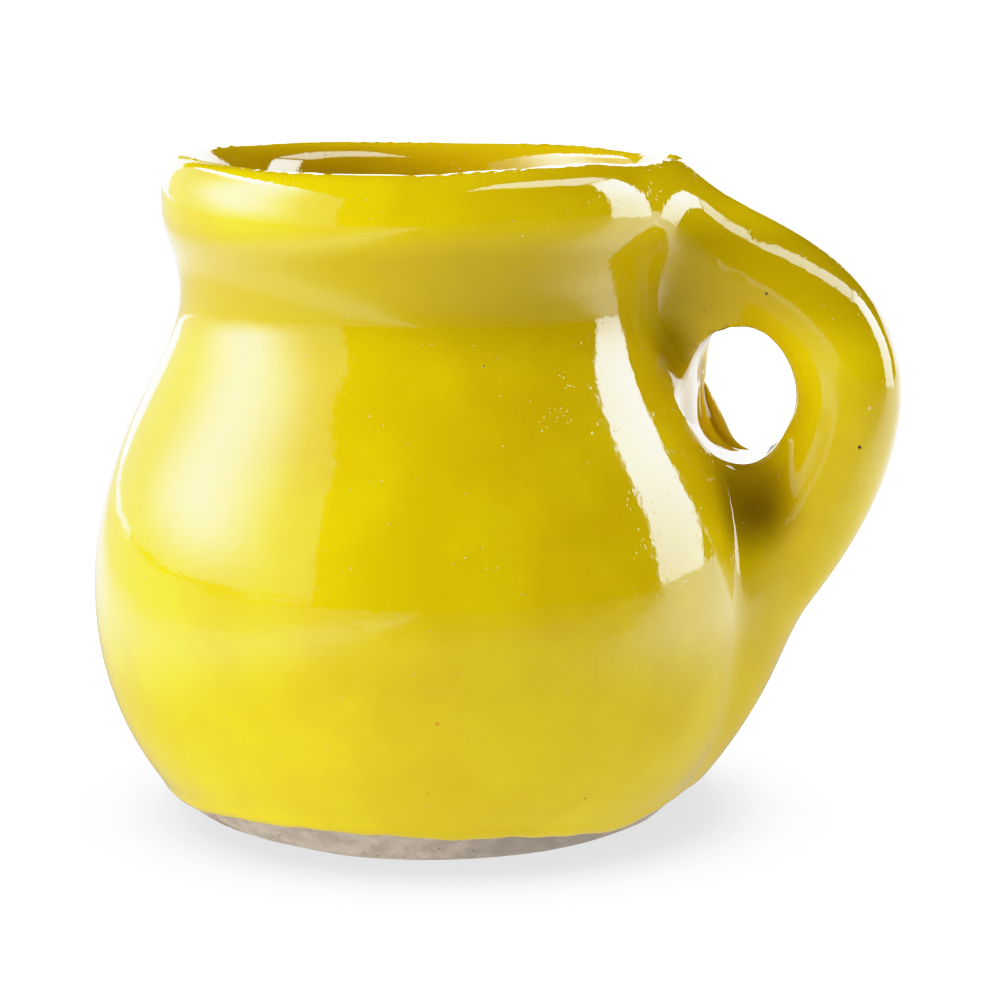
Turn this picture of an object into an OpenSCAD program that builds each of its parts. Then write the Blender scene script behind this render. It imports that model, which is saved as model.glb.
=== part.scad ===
// A small glazed clay mug with a round belly, a rolled lip and a coil handle.
// Sizes are millimetres. The origin is the centre of the foot, +Z is up and
// the handle stands out along +X.

/* [Pot] */
// Radius of the flat ring that the mug stands on
foot_radius = 17.9; // [16:0.1:18.5]
// How far the bevel round the foot spreads outwards
foot_bevel_width = 1.2; // [0.6:0.1:1.6]
// Height of the bevel round the foot
foot_bevel_height = 0.6; // [0.4:0.1:1.2]
// Slope of the wall where it leaves the foot, in degrees above the table
foot_slope = 50; // [40:1:60]
// Radius of the belly at its widest
belly_radius = 26.2; // [24.5:0.1:28]
// Height of the belly's widest ring above the table
belly_height = 17.6; // [15:0.1:19]
// Radius of the neck at its narrowest
neck_radius = 19.2; // [18.8:0.1:20]
// How far the neck's narrowest ring lies below the crest
neck_drop = 10.2; // [9.2:0.1:11.2]
// Radius of the lip at its widest
lip_radius = 20.8; // [20.4:0.1:21.6]
// How far the lip's widest ring lies below the crest
lip_drop = 3.4; // [2.8:0.1:4.2]
// Radius of the crest that runs round the top of the lip
crest_radius = 18.8; // [18.4:0.1:19.4]
// Height of the crest, which is the height of the clay
crest_height = 51.2; // [50.6:0.1:52.4]

/* [Inside of the pot] */
// Radius of the mouth at its narrowest, just below the crest
mouth_radius = 17; // [16.4:0.1:17.4]
// How far the narrowest ring of the mouth lies below the crest
mouth_drop = 4.2; // [3.2:0.1:5.7]
// Thickness of the wall at the neck
neck_wall_thickness = 2.4; // [2:0.1:2.8]
// Thickness of the wall at the belly
belly_wall_thickness = 3; // [2.2:0.1:3.6]
// Thickness of the floor at its middle
floor_thickness = 3.6; // [2.6:0.1:4.6]
// Radius of the flat middle of the floor
floor_radius = 9; // [6:0.5:12]

/* [Glaze] */
// Thickness of the glaze on the outside
glaze_thickness = 0.3; // [0.2:0.05:0.45]
// Thickness of the glaze on the inside
lining_thickness = 0.3; // [0.2:0.05:0.45]
// Height of the line below which the foot is left bare
glaze_line_height = 2.3; // [1.6:0.1:3.4]

/* [Handle] */
// How deep the coil's upper end lies inside the lip's widest ring
root_inset = 3.8; // [3.4:0.1:4.2]
// How far the middle of the coil's upper end lies below the crest
root_drop = 4.1; // [3.9:0.1:4.8]
// Slope of the coil where it leaves the lip, in degrees below level
root_slope = 23; // [18:1:27]
// How far the coil's middle stands out past the belly at its outermost
handle_stand = 6.8; // [6:0.1:8.8]
// How far the coil's outermost point lies below the crest
handle_drop = 17.7; // [16.7:0.1:19.2]
// How deep the coil's lower end lies inside the belly's widest ring
tail_inset = 5.2; // [4.2:0.1:6.7]
// How far the coil's lower end lies below the belly's widest ring
tail_drop = 7.1; // [5.6:0.1:8.1]
// Half of the coil's thickness at its upper end
root_half_thickness = 4.1; // [3.7:0.05:4.3]
// Half of the coil's thickness at its outermost point
bend_half_thickness = 3.65; // [3.3:0.05:4]
// Half of the coil's thickness halfway down to the tail
lower_half_thickness = 4.1; // [3.8:0.05:4.4]
// Half of the coil's thickness at its lower end
tail_half_thickness = 3.4; // [3:0.05:3.8]
// Half of the coil's width, seen from the end
coil_half_width = 3.8; // [3.4:0.05:4.2]

/* [Eye of the handle] */
// How far the middle of the eye lies inside the belly's widest ring
eye_inset = 1.3; // [0.8:0.1:1.8]
// How far the middle of the eye lies below the crest
eye_drop = 17.3; // [16.6:0.1:18]
// Half of the eye's width
eye_half_width = 4.4; // [4.1:0.1:4.7]
// Half of the eye's height
eye_half_height = 5.6; // [5:0.1:6]

/* [Slip at the joints] */
// How far the slip dives under the coil's surface where it ends
slip_tuck_depth = 0.4; // [0.3:0.05:0.6]
// How far the slip at the lip spreads up past the coil
upper_spread_height = 0.3; // [0.2:0.1:0.5]
// How far the slip at the lip spreads down the neck past the coil
upper_spread_depth = 7.4; // [6.4:0.1:8]
// How far the slip at the lip spreads to each side of the coil
upper_spread_width = 0.8; // [0.7:0.1:1.2]
// Distance from the lip over which the slip at the lip thins out
upper_spread_length = 6; // [5:0.1:7]
// How far the slip at the lip stays below the crest
upper_slip_drop = 0.35; // [0.3:0.05:0.6]
// How far the middle of the web's top lies inside the belly's widest ring
web_inset = 0.8; // [0.4:0.1:1.2]
// How far the middle of the web's top, which the eye cuts away, lies below the eye's middle
web_drop = 3.1; // [2.7:0.1:3.9]
// Half of the thickness and the width of the web below the eye
web_half_thickness = 3.9; // [3.6:0.1:4.1]
// Half of the thickness of the smear halfway down the belly
smear_half_thickness = 4.2; // [4:0.1:4.5]
// Half of the width of the smear, seen from the end
smear_half_width = 5.4; // [4.8:0.1:6]
// How far the middle of the smear's lower end lies inside the belly's widest ring
smear_end_inset = 6.4; // [6:0.1:7]
// How far the middle of the smear's lower end lies below the belly's widest ring
smear_end_drop = 10.8; // [10:0.1:11.4]
// Half of the thickness of the smear at its lower end
smear_end_half_thickness = 3.6; // [3.3:0.1:3.8]

/* [Hidden] */
$fn = 96;

// Colours of the bare clay, the slip and the glaze
clay_colour = [0.85, 0.81, 0.77];
slip_colour = [0.78, 0.72, 0.66];
glaze_colour = [0.91, 0.82, 0.02];
lining_colour = [0.72, 0.66, 0.05];

// Steps along one curve of the pot's outline
curve_steps = 12;
// Steps along one rounding of the lip
round_steps = 7;
// Steps along each half of the coil
coil_steps = 14;
// Steps along the slip at a joint
slip_steps = 11;
// Flats round the coil and round the slip
coil_sides = 20;
// Flats round the eye
eye_sides = 32;

// Reach of the outline's handles, as shares of the height between two rings
foot_pull_share = 0.1;
belly_low_pull_share = 0.6;
belly_high_pull_share = 0.53;
neck_low_pull_share = 0.22;
neck_high_pull_share = 0.6;
lip_pull_share = 0.4;
inside_pull_share = 0.45;
floor_pull_share = 0.5;

// Reach of the coil's curve, as shares of the way that each half covers
root_pull_share = 0.55;
bend_high_pull_share = 0.57;
bend_low_pull_share = 0.26;
tail_out_pull_share = 0.42;
tail_up_pull_share = 0.37;
// Where the coil is as thick as lower_half_thickness, as a share of its lower half
lower_half_share = 0.45;
// How far along the coil the slip at the lip reaches, as a share of its upper half
upper_coil_share = 0.5;
// Pulls on the middle line of the web and the smear, as shares of its own way
smear_high_pull_share = [1.25, 0.68];
smear_low_pull_share = [0.86, 0.22];
// Where the smear is thickest, as a share of its length
smear_thick_share = 0.55;

// Point at share t of the curve that a, d end and b, c pull
function curve_point(a, b, c, d, t) =
    pow(1 - t, 3) * a + 3 * pow(1 - t, 2) * t * b + 3 * (1 - t) * pow(t, 2) * c + pow(t, 3) * d;

// The curve as steps + 1 points, or without its first point when skip is 1
function curve(a, b, c, d, steps, skip = 0) =
    [for (i = [skip:steps]) curve_point(a, b, c, d, i / steps)];

// Quarter of an ellipse about centre, from angle start to angle start + 90
function quarter(centre, half_x, half_z, start) =
    [for (i = [1:round_steps]) let (angle = start + 90 * i / round_steps)
        centre + [half_x * cos(angle), half_z * sin(angle)]];

// Unit vector square to the outline at point i, pointing away from the clay
function outward(points, i) = let (
        last = len(points) - 1,
        along = points[min(i + 1, last)] - points[max(i - 1, 0)])
    i == last ? [0, 1] : [along.y, -along.x] / norm(along);

// The outline moved away from the clay by depth, from point first to point last
function lifted(points, depth, first, last) =
    [for (i = [first:last]) points[i] + depth * outward(points, i)];

function part_of(points, first, last) = [for (i = [first:last]) points[i]];

function reversed(points) = [for (i = [len(points) - 1:-1:0]) points[i]];

// A size that grows from start to end without a corner at either
function between(start, end, share) =
    start + (end - start) * (1 - cos(180 * max(0, min(1, share)))) / 2;

// Heights that hang from the crest, the belly or the eye
neck_height = crest_height - neck_drop;
lip_height = crest_height - lip_drop;
mouth_height = crest_height - mouth_drop;
eye_height = crest_height - eye_drop;

// Rings of the pot's outline, as radius and height
foot_ring = [foot_radius, 0];
bevel_ring = [foot_radius + foot_bevel_width, foot_bevel_height];
belly_ring = [belly_radius, belly_height];
neck_ring = [neck_radius, neck_height];
lip_ring = [lip_radius, lip_height];
crest_ring = [crest_radius, crest_height];
mouth_ring = [mouth_radius, mouth_height];
throat_ring = [neck_radius - neck_wall_thickness, neck_height];
hollow_ring = [belly_radius - belly_wall_thickness, belly_height];
floor_ring = [floor_radius, floor_thickness];

foot_rise = belly_height - foot_bevel_height;
belly_rise = neck_height - belly_height;
neck_rise = lip_height - neck_height;
hollow_drop = belly_height - floor_thickness;

// The outside of the clay, from the foot up to the crest of the lip
outside = concat(
    [foot_ring],
    curve(bevel_ring,
        bevel_ring + foot_pull_share * foot_rise * [cos(foot_slope), sin(foot_slope)],
        belly_ring - [0, belly_low_pull_share * foot_rise], belly_ring, curve_steps),
    curve(belly_ring, belly_ring + [0, belly_high_pull_share * belly_rise],
        neck_ring - [0, neck_low_pull_share * belly_rise], neck_ring, curve_steps, 1),
    curve(neck_ring, neck_ring + [0, neck_high_pull_share * neck_rise],
        lip_ring - [0, lip_pull_share * neck_rise], lip_ring, round_steps, 1),
    quarter([crest_radius, lip_height], lip_radius - crest_radius, crest_height - lip_height, 0));

// The inside of the clay, from the crest down to the middle of the floor
inside = concat(
    quarter([crest_radius, mouth_height], crest_radius - mouth_radius,
        crest_height - mouth_height, 90),
    curve(mouth_ring, mouth_ring - [0, inside_pull_share * (mouth_height - neck_height)],
        throat_ring + [0, inside_pull_share * (mouth_height - neck_height)],
        throat_ring, round_steps, 1),
    curve(throat_ring, throat_ring - [0, neck_low_pull_share * belly_rise],
        hollow_ring + [0, belly_high_pull_share * belly_rise], hollow_ring, curve_steps, 1),
    curve(hollow_ring, hollow_ring - [0, belly_low_pull_share * hollow_drop],
        floor_ring + [floor_pull_share * (hollow_ring.x - floor_radius), 0],
        floor_ring, curve_steps, 1),
    [[0, floor_thickness]]);

outline = concat(outside, inside);
crest_at = len(outside) - 1;
outline_end = len(outline) - 1;

// The clay as if it had no hollow, which trims what is pressed against it
module solid_pot() {
    rotate_extrude()
        polygon(concat([[0, 0]], outside, [[0, crest_height]]));
}

// One layer of glaze over the outline, from point first to point last
module glaze_layer(depth, first, last) {
    rotate_extrude()
        polygon(concat(lifted(outline, depth, first, last),
            reversed(part_of(outline, first, last))));
}

// The middle line of the coil, in the plane of the handle
root_point = [lip_radius - root_inset, crest_height - root_drop];
bend_point = [belly_radius + handle_stand, crest_height - handle_drop];
tail_point = [belly_radius - tail_inset, belly_height - tail_drop];
upper_way = bend_point - root_point;
lower_way = bend_point - tail_point;
root_pull = root_pull_share * upper_way.x * [1, -tan(root_slope)];

// Point of the coil's middle line at share t, with 0 at the root and 2 at the tail
function coil_point(t) = t < 1
    ? curve_point(root_point, root_point + root_pull,
        bend_point - [0, bend_high_pull_share * upper_way.y], bend_point, t)
    : curve_point(bend_point, bend_point - [0, bend_low_pull_share * lower_way.y],
        tail_point + [tail_out_pull_share * lower_way.x, tail_up_pull_share * lower_way.y],
        tail_point, t - 1);

// Half of the coil's thickness at share t
function coil_half(t) = let (low = 1 + lower_half_share)
    t < 1 ? between(root_half_thickness, bend_half_thickness, t)
    : t < low ? between(bend_half_thickness, lower_half_thickness, (t - 1) / lower_half_share)
    : between(lower_half_thickness, tail_half_thickness, (t - low) / (1 - lower_half_share));

// Direction of a middle line between its points before and after point i
function heading(points, i) = let (
        along = points[min(i + 1, len(points) - 1)] - points[max(i - 1, 0)])
    along / norm(along);

// One egg-shaped ring square to the heading: outer and inner are its halves
// away from and towards the eye, and side is half of its width
function ring(middle, along, outer, inner, side) =
    [for (k = [0:coil_sides - 1]) let (
            angle = 360 * k / coil_sides,
            across = cos(angle) * (cos(angle) > 0 ? outer : inner),
            spot = middle + across * [-along.y, along.x])
        [spot.x, side * sin(angle), spot.y]];

// Closed tube through rings of coil_sides points each
module tube(rings) {
    last = len(rings) - 1;
    polyhedron(
        points = [for (row = rings) each row],
        faces = concat(
            [for (k = [1:coil_sides - 2]) [0, k + 1, k]],
            [for (i = [0:last - 1], k = [0:coil_sides - 1])
                let (here = i * coil_sides + k, beside = i * coil_sides + (k + 1) % coil_sides)
                [here, beside, here + coil_sides]],
            [for (i = [0:last - 1], k = [0:coil_sides - 1])
                let (here = i * coil_sides + k, beside = i * coil_sides + (k + 1) % coil_sides)
                [here + coil_sides, beside, beside + coil_sides]],
            [for (k = [1:coil_sides - 2], start = last * coil_sides)
                [start, start + k, start + k + 1]]));
}

// Shares and middle points of the coil's rings
coil_shares = [for (i = [0:2 * coil_steps]) i / coil_steps];
coil_line = [for (t = coil_shares) coil_point(t)];

// The whole coil, with its ends inside the pot, and grown by cover all round
module coil(cover = 0) {
    tube([for (i = [0:len(coil_line) - 1]) let (half = coil_half(coil_shares[i]) + cover)
        ring(coil_line[i], heading(coil_line, i), half, half, coil_half_width + cover)]);
}

// The slip at the lip, as upright rings from inside the wall until it thins out
upper_line = [for (i = [0:slip_steps]) coil_point(upper_coil_share * i / slip_steps)];

// How much of the spread is left at a distance from the pot's axis
function spread_left(reach) = between(1, 0, (reach - lip_radius) / upper_spread_length);

// The eye, pushed right through coil, slip and wall, and narrowed by cover
module eye(cover = 0) {
    translate([belly_radius - eye_inset, 0, eye_height])
        rotate([90, 0, 0])
            linear_extrude(height = 2 * belly_radius, center = true)
                polygon([for (k = [0:eye_sides - 1]) let (angle = 360 * k / eye_sides)
                    [(eye_half_width - cover) * cos(angle), (eye_half_height - cover) * sin(angle)]]);
}

module upper_slip(cover = 0) {
    difference() {
        tube([for (i = [0:slip_steps]) let (
                middle = upper_line[i],
                upright = coil_half(upper_coil_share * i / slip_steps) / heading(upper_line, i).x,
                half = upright - slip_tuck_depth + cover,
                left = spread_left(middle.x),
                room = crest_height - upper_slip_drop + cover - middle.y)
            ring(middle, [1, 0], min(half + upper_spread_height * left, room),
                half + upper_spread_depth * left,
                coil_half_width - slip_tuck_depth + cover + upper_spread_width * left)]);
        eye(cover);
    }
}

// The slip at the belly: a web below the eye that runs out as a smear
web_point = [belly_radius - web_inset, eye_height - web_drop];
smear_end = [belly_radius - smear_end_inset, belly_height - smear_end_drop];
smear_way = web_point - smear_end;
lower_line = curve(web_point,
    smear_end + [smear_high_pull_share.x * smear_way.x, smear_high_pull_share.y * smear_way.y],
    smear_end + [smear_low_pull_share.x * smear_way.x, smear_low_pull_share.y * smear_way.y],
    smear_end, slip_steps);

// Half of the smear's thickness, or of its width, at share t of its length
function swell(start, middle, end, t) = t < smear_thick_share
    ? between(start, middle, t / smear_thick_share)
    : between(middle, end, (t - smear_thick_share) / (1 - smear_thick_share));

module lower_slip(cover = 0) {
    difference() {
        tube([for (i = [0:slip_steps]) let (
                t = i / slip_steps,
                half = swell(web_half_thickness, smear_half_thickness, smear_end_half_thickness, t) + cover)
            ring(lower_line[i], heading(lower_line, i), half, half,
                swell(web_half_thickness, smear_half_width, smear_end_half_thickness, t) + cover)]);
        eye(cover);
    }
}

// The thrown pot: foot, belly, neck and lip are one wall of clay, which the
// finger that opened the eye has pressed flat beside it
module clay_body() {
    color(clay_colour)
        difference() {
            rotate_extrude()
                polygon(concat([[0, 0]], outline));
            eye();
        }
}

// The rolled coil that is bent into the handle
module handle() {
    color(clay_colour)
        difference() {
            coil();
            solid_pot();
        }
}

// The slip that sticks the coil to the lip and the neck
module upper_slip_joint() {
    color(slip_colour)
        difference() {
            upper_slip();
            coil();
            solid_pot();
        }
}

// The slip that sticks the coil's tail to the belly
module lower_slip_joint() {
    color(slip_colour)
        difference() {
            lower_slip();
            coil();
            solid_pot();
        }
}

// The glass outside, over pot, handle and slip, down to the glaze line
module outer_glaze() {
    color(glaze_colour)
        difference() {
            union() {
                difference() {
                    glaze_layer(glaze_thickness, 1, crest_at);
                    eye(glaze_thickness);
                }
                difference() {
                    union() {
                        coil(glaze_thickness);
                        upper_slip(glaze_thickness);
                        lower_slip(glaze_thickness);
                    }
                    solid_pot();
                }
                intersection() {
                    solid_pot();
                    difference() {
                        eye();
                        eye(glaze_thickness);
                    }
                }
            }
            coil();
            upper_slip();
            lower_slip();
            cylinder(h = glaze_line_height, r = 2 * belly_radius);
        }
}

// The glass lining, from the crest of the lip to the floor
module inner_glaze() {
    color(lining_colour)
        glaze_layer(lining_thickness, crest_at, outline_end);
}

clay_body();
handle();
upper_slip_joint();
lower_slip_joint();
outer_glaze();
inner_glaze();
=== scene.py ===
import math

import bmesh
import bpy
import numpy as np
from mathutils import Matrix, Vector


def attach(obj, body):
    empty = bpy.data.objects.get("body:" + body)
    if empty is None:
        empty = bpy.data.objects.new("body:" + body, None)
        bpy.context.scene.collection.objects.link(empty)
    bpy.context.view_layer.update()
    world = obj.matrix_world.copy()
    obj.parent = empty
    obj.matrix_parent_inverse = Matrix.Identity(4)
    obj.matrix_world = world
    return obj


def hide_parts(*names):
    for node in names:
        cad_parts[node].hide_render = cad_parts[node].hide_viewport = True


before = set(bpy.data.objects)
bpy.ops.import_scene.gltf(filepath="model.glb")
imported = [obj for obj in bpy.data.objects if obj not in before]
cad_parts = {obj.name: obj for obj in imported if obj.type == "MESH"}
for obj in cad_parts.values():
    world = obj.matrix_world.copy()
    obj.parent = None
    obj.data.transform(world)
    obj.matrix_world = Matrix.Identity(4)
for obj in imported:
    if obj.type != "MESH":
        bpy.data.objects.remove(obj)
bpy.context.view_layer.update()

# The mug is shaped in millimetres, as a potter would measure it, and the
# finished meshes are brought to metres at the very end.
MM = 0.001

# The thrown pot, as radius and height of the rings of its bare clay
FOOT = (17.9, 0.0)
BEVEL = (19.1, 0.6)
FOOT_SLOPE = math.radians(50)
BELLY = (26.2, 17.6)
NECK = (19.2, 41.0)
LIP = (20.8, 47.8)
CREST = (18.8, 51.2)
MOUTH = (17.0, 47.0)
THROAT = (16.8, 41.0)
HOLLOW = (23.2, 17.6)
FLOOR = (9.0, 3.6)
COAT = 0.3

# How far the curves follow each ring's own direction, as shares of the way to
# the ring below it and to the ring above it
BEVEL_PULL = 0.1
BELLY_PULLS = (0.6, 0.53)
NECK_PULLS = (0.22, 0.6)
LIP_PULL = 0.4
MOUTH_PULL = 0.45
FLOOR_PULL = 0.5

# The coil of the handle in its own plane, and half of its thickness at places
# along it, from 0 at the root over 1 at the bend to 2. The bend pulls down and up
# as the pot's rings do, the root along its slope, and the tail across and up.
ROOT = (17.0, 47.1)
BEND = (33.0, 33.5)
TAIL = (21.0, 10.5)
ROOT_SLOPE = math.radians(23)
ROOT_PULL = 0.55
BEND_PULLS = (0.26, 0.57)
TAIL_PULLS = (0.42, 0.37)
COIL_HALVES = ((0.0, 4.1), (1.0, 3.65), (1.45, 4.1), (2.0, 3.4))
COIL_SIDE = 3.8
BEND_SWELL = 0.4
BEND_SWELL_AT = 0.85
BEND_SWELL_SPREAD = 0.38

# The slip that lutes the coil to the lip: where it starts in the wall and ends
# on the coil, how deep it is sunk, and how far it spreads and drops at the lip
LUTING_START = 16.0
LUTING_END = 0.5
LUTING_BELOW_CREST = 0.35
LUTING_FADE = 6
LUTING_SUNK = (0.4, 1.5)
LUTING_SPREAD = 0.3
LUTING_DROP = 7.4

# The web of slip below the eye and the smear that runs from it down the belly,
# with half of its thickness and width at the web, where it is widest and at its end
WEB = (25.4, 30.8)
SMEAR_END = (19.8, 6.8)
SMEAR_PULLS = ((1.25, 0.68), (0.86, 0.22))
SMEAR_WIDEST = 0.55
SMEAR_HALVES = (3.9, 4.2, 3.6)
SMEAR_SIDES = (3.9, 5.4, 3.6)

# Inside the wall, where coil and slip are cut off
HANDLE_START = 12.5

# How widely glaze and slip fill the corner between pot and coil, below and above
# the eye, and what is added beside the lip
JOINT_FILLS = (1.7, 3.4)
JOINT_RISE = (32, 38)
LIP_FILL = 0.6
LIP_RISE = (41, 46)

# How softly surfaces run into each other: coil and slip, the slip's top, the web,
# the eye's edge below and above, the pressed flat, the lobe, the crest of the lip
# and the edge of the coat
SLIP_BLEND = 1.0
SLIP_TOP_BLEND = 1.2
WEB_BLEND = 1.2
EYE_BLENDS = (1.0, 0.5)
EYE_BLEND_RISE = (31, 37)
FLAT_BLEND = 0.3
LOBE_BLEND = 0.7
CREST_BLEND = 0.05
COAT_EDGE_BLEND = 0.35

# The eye of the handle and the flat that the finger pressed into the wall
EYE = (24.97, 34.05)
EYE_HALVES = (4.05, 5.15)
EYE_POWER = 2.15
PRESSED = (25.0, 33.85)
PRESSED_HALVES = (3.6, 5.3)
PRESSED_POWER = 2.6
PRESSED_OVAL = (6.6, 5.7)

# Where the clay tore at the eye's upper left: above one height, before one reach
TORN_RISE = (36, 38)
TORN_REACH = (26.5, 28.5)

# The lobe of glaze that hangs in the eye and the run of glaze low on the belly
DRIP = ((21.3, 3.6, 38.4), (21.35, 2.9, 34.9))
DRIP_HALVES = (0.9, 0.62)
DRIP_FLATNESS = 1.6
RUN = (19.2, -11.6, 9.6)
RUN_SPREAD = (2.4, 2.4, 2.0)
RUN_HEIGHT = 0.32

# The hem where the glaze ends, and how uneven hand and kiln left the surface
HEM = 0.1
HEM_RISE = 0.55
HEM_SPREAD = 0.45
LUMP = 0.018
PRESSED_LUMP = 0.04
RAG = 0.16
RAG_REACH = 0.8


def along_curve(a, b, c, d, t):
    """Points of the curve from a to d that b and c pull on, at shares t."""
    a, b, c, d = (np.array(p, float) for p in (a, b, c, d))
    t = np.asarray(t, float)[:, None]
    return (1 - t) ** 3 * a + 3 * (1 - t) ** 2 * t * b + 3 * (1 - t) * t**2 * c + t**3 * d


def shares(count):
    return np.linspace(0, 1, count + 1)


def quarter_round(centre, half, start, count):
    angles = start + shares(count) * math.pi / 2
    return np.stack([centre[0] + half[0] * np.cos(angles), centre[1] + half[1] * np.sin(angles)], -1)


def pot_outline(count=40):
    """The outside and the inside of the clay wall, as radius and height."""
    foot_rise = BELLY[1] - BEVEL[1]
    belly_rise = NECK[1] - BELLY[1]
    neck_rise = LIP[1] - NECK[1]
    drop = HOLLOW[1] - FLOOR[1]
    way = BEVEL_PULL * foot_rise
    pull = (BEVEL[0] + way * math.cos(FOOT_SLOPE), BEVEL[1] + way * math.sin(FOOT_SLOPE))
    t = shares(count)
    outside = np.concatenate([
        [FOOT],
        along_curve(BEVEL, pull, (BELLY[0], BELLY[1] - BELLY_PULLS[0] * foot_rise), BELLY, t),
        along_curve(BELLY, (BELLY[0], BELLY[1] + BELLY_PULLS[1] * belly_rise),
                    (NECK[0], NECK[1] - NECK_PULLS[0] * belly_rise), NECK, t)[1:],
        along_curve(NECK, (NECK[0], NECK[1] + NECK_PULLS[1] * neck_rise),
                    (LIP[0], LIP[1] - LIP_PULL * neck_rise), LIP, t)[1:],
        quarter_round((CREST[0], LIP[1]), (LIP[0] - CREST[0], CREST[1] - LIP[1]), 0, count)[1:],
    ])
    mouth_rise = MOUTH[1] - THROAT[1]
    inside = np.concatenate([
        quarter_round((CREST[0], MOUTH[1]), (CREST[0] - MOUTH[0], CREST[1] - MOUTH[1]),
                      math.pi / 2, count)[1:],
        along_curve(MOUTH, (MOUTH[0], MOUTH[1] - MOUTH_PULL * mouth_rise),
                    (THROAT[0], THROAT[1] + MOUTH_PULL * mouth_rise), THROAT, t)[1:],
        along_curve(THROAT, (THROAT[0], THROAT[1] - NECK_PULLS[0] * belly_rise),
                    (HOLLOW[0], HOLLOW[1] + BELLY_PULLS[1] * belly_rise), HOLLOW, t)[1:],
        along_curve(HOLLOW, (HOLLOW[0], HOLLOW[1] - BELLY_PULLS[0] * drop),
                    (FLOOR[0] + FLOOR_PULL * (HOLLOW[0] - FLOOR[0]), FLOOR[1]), FLOOR, t)[1:],
        [(0.0, FLOOR[1])],
    ])
    return outside, inside


def coil_line(count=50):
    """The middle line of the coil, from 0 at its root over 1 to 2 at its tail."""
    upper = (BEND[0] - ROOT[0], BEND[1] - ROOT[1])
    lower = (BEND[0] - TAIL[0], BEND[1] - TAIL[1])
    reach = ROOT_PULL * upper[0]
    t = shares(count)
    high = along_curve(ROOT, (ROOT[0] + reach, ROOT[1] - reach * math.tan(ROOT_SLOPE)),
                       (BEND[0], BEND[1] - BEND_PULLS[1] * upper[1]), BEND, t)
    low = along_curve(BEND, (BEND[0], BEND[1] - BEND_PULLS[0] * lower[1]),
                      (TAIL[0] + TAIL_PULLS[0] * lower[0], TAIL[1] + TAIL_PULLS[1] * lower[1]), TAIL, t)
    return np.concatenate([high, low[1:]]), np.concatenate([t, 1 + t[1:]])


def eased(start, end, share):
    return start + (end - start) * (1 - np.cos(math.pi * np.clip(share, 0, 1))) / 2


def share_between(value, start, end):
    """0 up to the start, 1 from the end on, and eased between them."""
    return eased(0, 1, (value - start) / (end - start))


def coil_half(t):
    """Half of the coil's thickness at share t."""
    t = np.asarray(t, float)
    (_, root), (_, bend), (low_at, low), (_, tail) = COIL_HALVES
    return np.where(t < 1, eased(root, bend, t), np.where(
        t < low_at, eased(bend, low, (t - 1) / (low_at - 1)), eased(low, tail, (t - low_at) / (2 - low_at))))


def smear_line(count=60):
    """The middle line of the web below the eye and of the smear down the belly."""
    way = np.array(WEB) - SMEAR_END
    t = shares(count)
    return along_curve(WEB, *(SMEAR_END + way * pull for pull in SMEAR_PULLS), SMEAR_END, t), t


def smear_size(sizes, t):
    """Half of the smear's thickness or width at share t."""
    start, widest, end = sizes
    t = np.asarray(t, float)
    return np.where(t < SMEAR_WIDEST, eased(start, widest, t / SMEAR_WIDEST),
                    eased(widest, end, (t - SMEAR_WIDEST) / (1 - SMEAR_WIDEST)))


def signed_distance(points, outline, at_once=4000):
    """Distance of flat points from a closed outline, negative inside it."""
    start, end = outline, np.roll(outline, -1, axis=0)
    way = end - start
    length = np.maximum((way**2).sum(1), 1e-12)
    found = np.empty(len(points))
    for first in range(0, len(points), at_once):
        p = points[first:first + at_once, None, :]
        t = np.clip(((p - start) * way).sum(2) / length, 0, 1)
        gap = np.sqrt((((p - start) - t[..., None] * way) ** 2).sum(2).min(1))
        crosses = (start[:, 1] > p[..., 1]) != (end[:, 1] > p[..., 1])
        rise = np.where(way[:, 1] == 0, 1, way[:, 1])
        left = p[..., 0] < start[:, 0] + (p[..., 1] - start[:, 1]) / rise * way[:, 0]
        odd = (crosses & left).sum(1) % 2 == 1
        found[first:first + at_once] = np.where(odd, -gap, gap)
    return found


def gap_to_line(points, line, places):
    """Distance of flat points from a line, the nearest place on it, and the signed distance."""
    way = line[1:] - line[:-1]
    length = (way**2).sum(1)
    t = np.clip(((points[:, None, :] - line[:-1]) * way).sum(2) / length, 0, 1)
    off = points[:, None, :] - line[:-1] - t[..., None] * way
    gaps = np.sqrt((off**2).sum(2))
    k = gaps.argmin(1)
    row = np.arange(len(points))
    gap = gaps[row, k]
    side = way[k, 0] * off[row, k, 1] - way[k, 1] * off[row, k, 0]
    place = places[k] + t[row, k] * (places[k + 1] - places[k])
    return gap, place, np.where(side > 0, gap, -gap)


class Chart:
    """Values on a flat grid of points, read smoothly between them."""

    def __init__(self, low, high, step, rule):
        self.low, self.step = np.array(low, float), step
        self.size = [int(math.ceil((high[i] - low[i]) / step)) + 1 for i in (0, 1)]
        u = low[0] + step * np.arange(self.size[0])
        v = low[1] + step * np.arange(self.size[1])
        spots = np.stack(np.meshgrid(u, v, indexing="ij"), -1).reshape(-1, 2)
        self.layers = [np.asarray(layer).reshape(self.size) for layer in rule(spots)]

    def read(self, u, v):
        a = np.clip((u - self.low[0]) / self.step, 1, self.size[0] - 2.001)
        b = np.clip((v - self.low[1]) / self.step, 1, self.size[1] - 2.001)
        i, j = np.floor(a).astype(int), np.floor(b).astype(int)

        def weights(t):
            return ((-t + 2 * t**2 - t**3) / 2, (2 - 5 * t**2 + 3 * t**3) / 2,
                    (t + 4 * t**2 - 3 * t**3) / 2, (t**3 - t**2) / 2)

        across, up = weights(a - i), weights(b - j)
        return [sum(across[m] * sum(up[n] * layer[i + m - 1, j + n - 1] for n in range(4)) for m in range(4))
                for layer in self.layers]


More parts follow.
